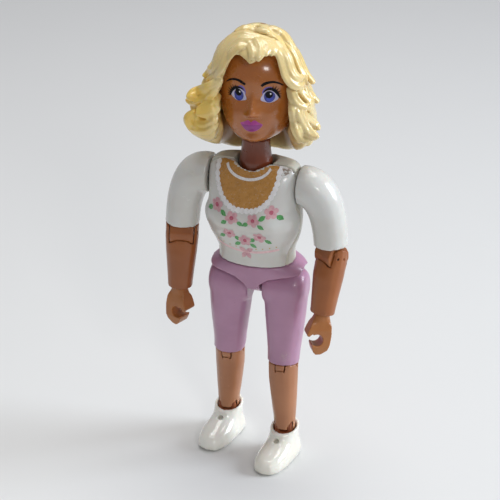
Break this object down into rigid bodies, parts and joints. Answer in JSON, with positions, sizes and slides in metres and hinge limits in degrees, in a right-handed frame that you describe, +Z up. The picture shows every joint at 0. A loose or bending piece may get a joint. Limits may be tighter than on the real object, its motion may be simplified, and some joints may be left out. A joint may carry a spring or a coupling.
{
  "type": "toy figure",
  "caption": "Jointed plastic toy figure of a standing woman with wavy hair, short-sleeved top, knee-length shorts, slip-on shoes and hands that clip onto rods.",
  "frame": {"origin": "on the ground, in the middle of the box that the standing figure fills", "axes": "+Z up from the soles to the crown, -Y the way the figure faces, +X the figure's own left"},
  "size_m": [0.0564, 0.0313, 0.135],
  "materials": {
    "shirt_white": "glossy white moulded plastic, a little yellowed at the shoulders",
    "shell_cream": "cream moulded plastic, satin gloss",
    "shorts_lilac": "lilac moulded plastic, satin gloss",
    "skin_brown": "warm brown moulded plastic, satin gloss",
    "skin_tan": "lighter tan moulded plastic, satin",
    "peg_brown": "red-brown moulded plastic",
    "shoe_white": "very glossy cream-white moulded plastic",
    "hair_blonde": "butter-yellow moulded plastic, satin gloss",
    "pin_steel": "plain steel pin, hidden in use"
  },
  "bodies": {
    "hips": {"pelvis": "shorts_lilac", "hip_axle": "pin_steel"},
    "torso": {"torso_front": "shirt_white", "torso_back": "shell_cream"},
    "neck": {"neck_post": "skin_brown"},
    "head_and_hair": {"head": "skin_brown", "hair_front": "hair_blonde", "hair_back": "hair_blonde"},
    "left_upper_arm": {"left_shoulder_axle": "pin_steel", "left_sleeve": "shirt_white"},
    "left_elbow": {"left_elbow_knuckle": "skin_brown", "left_elbow_pin": "pin_steel"},
    "left_lower_arm": {"left_forearm": "skin_brown"},
    "left_hand_body": {"left_hand": "skin_brown"},
    "right_upper_arm": {"right_shoulder_axle": "pin_steel", "right_sleeve": "shirt_white"},
    "right_elbow": {"right_elbow_knuckle": "skin_brown", "right_elbow_pin": "pin_steel"},
    "right_lower_arm": {"right_forearm": "skin_brown"},
    "right_hand_body": {"right_hand": "skin_brown"},
    "left_upper_leg": {"left_thigh": "shorts_lilac", "left_knee_link": "skin_tan", "left_knee_pin": "pin_steel"},
    "left_lower_leg": {"left_shin": "skin_tan"},
    "left_ankle": {"left_ankle_peg": "peg_brown", "left_ankle_pin": "pin_steel"},
    "left_foot": {"left_shoe": "shoe_white"},
    "right_upper_leg": {"right_thigh": "shorts_lilac", "right_knee_link": "skin_tan", "right_knee_pin": "pin_steel"},
    "right_lower_leg": {"right_shin": "skin_tan"},
    "right_ankle": {"right_ankle_peg": "peg_brown", "right_ankle_pin": "pin_steel"},
    "right_foot": {"right_shoe": "shoe_white"}
  },
  "joints": [
    {"name": "waist_turn", "type": "hinge", "parent": "hips", "child": "torso", "pos_m": [0.0004, 0.0037, 0.06479], "axis": [0, 0, 1], "range_deg": [-30, 30]},
    {"name": "neck_nod", "type": "hinge", "parent": "torso", "child": "neck", "pos_m": [0.00024, 0.0007, 0.09139], "axis": [0.9986, -0.0523, 0], "range_deg": [-6, 15]},
    {"name": "head_turn", "type": "hinge", "parent": "neck", "child": "head_and_hair", "pos_m": [0.00024, 0.0007, 0.10339], "axis": [0, 0, 1], "range_deg": [-20, 20]},
    {"name": "left_shoulder_swing", "type": "hinge", "parent": "torso", "child": "left_upper_arm", "pos_m": [0.01402, -0.00002, 0.08999], "axis": [-0.9986, 0.0523, 0], "range_deg": [-60, 90]},
    {"name": "left_elbow_swivel", "type": "hinge", "parent": "left_upper_arm", "child": "left_elbow", "pos_m": [0.02339, -0.00051, 0.0695], "axis": [-0.0523, 0.0027, 0.9986], "range_deg": [-10, 90]},
    {"name": "left_elbow_bend", "type": "hinge", "parent": "left_elbow", "child": "left_lower_arm", "pos_m": [0.02339, -0.00051, 0.0695], "axis": [-0.776, 0.6293, -0.0423], "range_deg": [-13, 51]},
    {"name": "left_wrist_twist", "type": "hinge", "parent": "left_lower_arm", "child": "left_hand_body", "pos_m": [0.02178, -0.00367, 0.05205], "axis": [0.0905, 0.1775, 0.98], "continuous": true},
    {"name": "right_shoulder_swing", "type": "hinge", "parent": "torso", "child": "right_upper_arm", "pos_m": [-0.01354, 0.00143, 0.08999], "axis": [-0.9986, 0.0523, 0], "range_deg": [-60, 90]},
    {"name": "right_elbow_swivel", "type": "hinge", "parent": "right_upper_arm", "child": "right_elbow", "pos_m": [-0.02291, 0.00192, 0.0695], "axis": [-0.0523, 0.0027, -0.9986], "range_deg": [-30, 75]},
    {"name": "right_elbow_bend", "type": "hinge", "parent": "right_elbow", "child": "right_lower_arm", "pos_m": [-0.02291, 0.00192, 0.0695], "axis": [-0.969, -0.242, 0.05], "range_deg": [-1, 63]},
    {"name": "right_wrist_twist", "type": "hinge", "parent": "right_lower_arm", "child": "right_hand_body", "pos_m": [-0.02376, 0.00167, 0.05172], "axis": [0.048, 0.0142, 0.9987], "continuous": true},
    {"name": "left_hip_swing", "type": "hinge", "parent": "hips", "child": "left_upper_leg", "pos_m": [0.009, 0.0037, 0.05539], "axis": [-1, 0, 0], "range_deg": [-25, 56]},
    {"name": "left_knee_bend", "type": "hinge", "parent": "left_upper_leg", "child": "left_lower_leg", "pos_m": [0.00873, 0.0014, 0.0311], "axis": [1, 0, 0], "range_deg": [0, 90]},
    {"name": "left_ankle_pitch", "type": "hinge", "parent": "left_lower_leg", "child": "left_ankle", "pos_m": [0.00983, -0.00046, 0.01138], "axis": [1, 0, 0], "range_deg": [-8, 10]},
    {"name": "left_foot_turn", "type": "hinge", "parent": "left_ankle", "child": "left_foot", "pos_m": [0.00983, -0.00046, 0.01138], "axis": [0, 0, 1], "range_deg": [-30, 30]},
    {"name": "right_hip_swing", "type": "hinge", "parent": "hips", "child": "right_upper_leg", "pos_m": [-0.0082, 0.0037, 0.05539], "axis": [-1, 0, 0], "range_deg": [-14, 66]},
    {"name": "right_knee_bend", "type": "hinge", "parent": "right_upper_leg", "child": "right_lower_leg", "pos_m": [-0.00947, 0.00599, 0.03113], "axis": [1, 0, 0], "range_deg": [0, 90]},
    {"name": "right_ankle_pitch", "type": "hinge", "parent": "right_lower_leg", "child": "right_ankle", "pos_m": [-0.01057, 0.00786, 0.01142], "axis": [1, 0, 0], "range_deg": [-8, 10]},
    {"name": "right_foot_turn", "type": "hinge", "parent": "right_ankle", "child": "right_foot", "pos_m": [-0.01057, 0.00786, 0.01142], "axis": [0, 0, 1], "range_deg": [-30, 30]}
  ]
}
